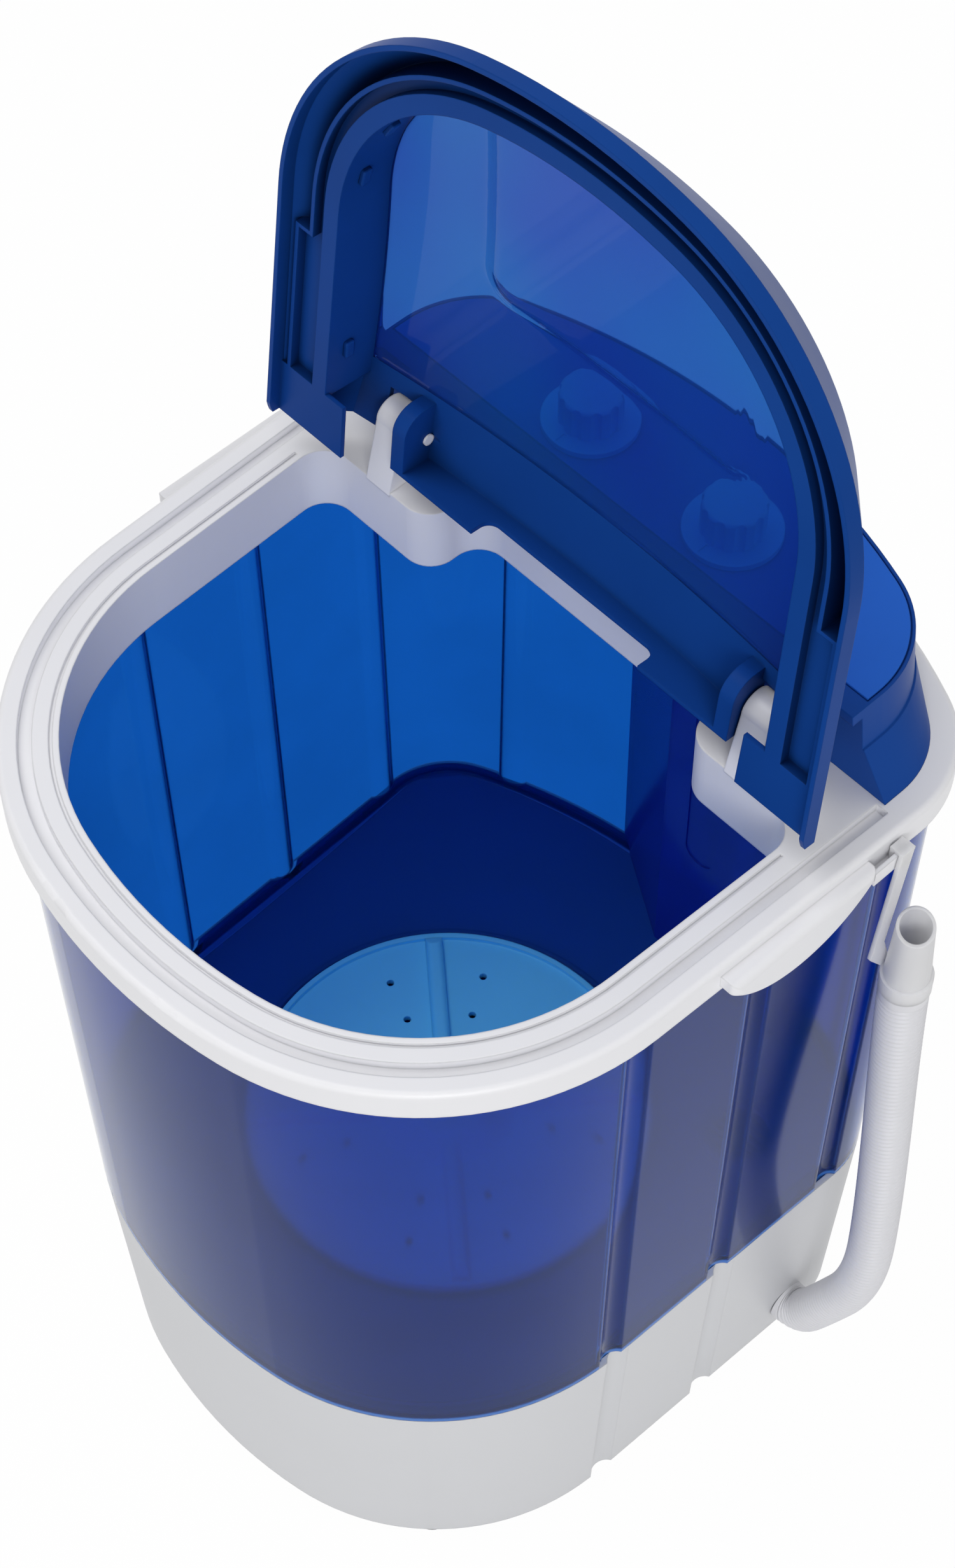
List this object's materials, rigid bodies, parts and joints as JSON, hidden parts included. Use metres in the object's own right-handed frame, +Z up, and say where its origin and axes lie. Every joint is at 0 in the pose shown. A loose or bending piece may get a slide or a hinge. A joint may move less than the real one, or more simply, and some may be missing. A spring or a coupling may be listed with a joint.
{
  "type": "top load washing machine",
  "caption": "Small portable single-tub top load washing machine with a hinged domed lid, dials, pulsator, belt drive and a hooked drain hose.",
  "frame": {"origin": "centre of the footprint at floor level", "axes": "+Z up, -Y to the front, +X to the right side where the hose is"},
  "size_m": [0.4123, 0.3929, 0.8028],
  "materials": {
    "white_plastic": "gloss white moulded plastic",
    "base_plastic": "pale grey moulded plastic",
    "tub_plastic": "translucent blue plastic",
    "blue_plastic": "opaque blue plastic",
    "fascia_plastic": "opaque blue plastic",
    "window_plastic": "clear blue plastic",
    "pulsator_plastic": "light blue plastic",
    "hose_plastic": "white ribbed hose",
    "pipe_plastic": "plain moulded",
    "unit_plastic": "plain moulded",
    "pulley_plastic": "plain moulded",
    "wire_plastic": "insulated wire",
    "foot_rubber": "grey rubber",
    "seal_rubber": "black rubber",
    "belt_rubber": "black rubber",
    "screw_steel": "zinc plated",
    "clamp_steel": "zinc plated",
    "bearing_steel": "ground",
    "motor_iron": "laminated iron, varnished",
    "housing_aluminium": "die cast",
    "capacitor_aluminium": "drawn can"
  },
  "bodies": {
    "cabinet": {"base_housing": "base_plastic", "bottom_plate": "base_plastic", "feet": "foot_rubber", "base_screws": "screw_steel", "tub": "tub_plastic", "drain_grate": "tub_plastic", "drain_pipe": "pipe_plastic", "drain_hose": "hose_plastic", "hose_end_fitting": "white_plastic", "top_rim": "white_plastic", "hinge_pins": "white_plastic", "panel_housing": "blue_plastic", "panel_fascia": "fascia_plastic", "panel_screws": "screw_steel", "timer_unit": "unit_plastic", "selector_switch": "unit_plastic", "shaft_seal": "seal_rubber", "shaft_bearings": "bearing_steel", "bearing_housing": "housing_aluminium", "bearing_screws": "screw_steel", "drive_belt": "belt_rubber", "motor_shields": "housing_aluminium", "motor_stator": "motor_iron", "motor_bushes": "seal_rubber", "motor_screws": "screw_steel", "capacitor": "capacitor_aluminium", "capacitor_clamp": "clamp_steel", "wire_duct": "tub_plastic", "overflow_duct": "tub_plastic", "wiring_loom": "wire_plastic", "cord_gland": "seal_rubber"},
    "lid": {"lid_frame": "blue_plastic", "lid_window": "window_plastic"},
    "pulsator_drive": {"pulsator": "pulsator_plastic", "pulsator_screw": "screw_steel", "drive_shaft": "bearing_steel", "driven_pulley": "pulley_plastic", "pulley_nut": "screw_steel"},
    "motor_spindle": {"motor_shaft": "bearing_steel", "motor_rotor": "motor_iron", "motor_pulley": "pulley_plastic"},
    "timer_dial": {"timer_knob": "white_plastic", "timer_shaft": "bearing_steel"},
    "selector_dial": {"selector_knob": "white_plastic", "selector_shaft": "bearing_steel"}
  },
  "joints": [
    {"name": "lid_hinge", "type": "hinge", "parent": "cabinet", "child": "lid", "pos_m": [0, 0.0785, 0.5376], "axis": [-1, 0, 0], "range_deg": [-95.6, 0]},
    {"name": "pulsator_spin", "type": "hinge", "parent": "cabinet", "child": "pulsator_drive", "pos_m": [0, -0.008, 0.15], "axis": [0, 0, 1], "continuous": true},
    {"name": "motor_spin", "type": "hinge", "parent": "cabinet", "child": "motor_spindle", "pos_m": [-0.06, 0.095, 0.09], "axis": [0, 0, 1], "continuous": true},
    {"name": "timer_turn", "type": "hinge", "parent": "cabinet", "child": "timer_dial", "pos_m": [-0.0445, 0.1294, 0.56], "axis": [0, 0, -1], "range_deg": [0, 300]},
    {"name": "selector_turn", "type": "hinge", "parent": "cabinet", "child": "selector_dial", "pos_m": [0.0445, 0.1294, 0.56], "axis": [0, 0, -1], "range_deg": [0, 90]}
  ],
  "couplings": [
    {"joint": "motor_spin", "follows": "pulsator_spin", "ratio": 5}
  ]
}
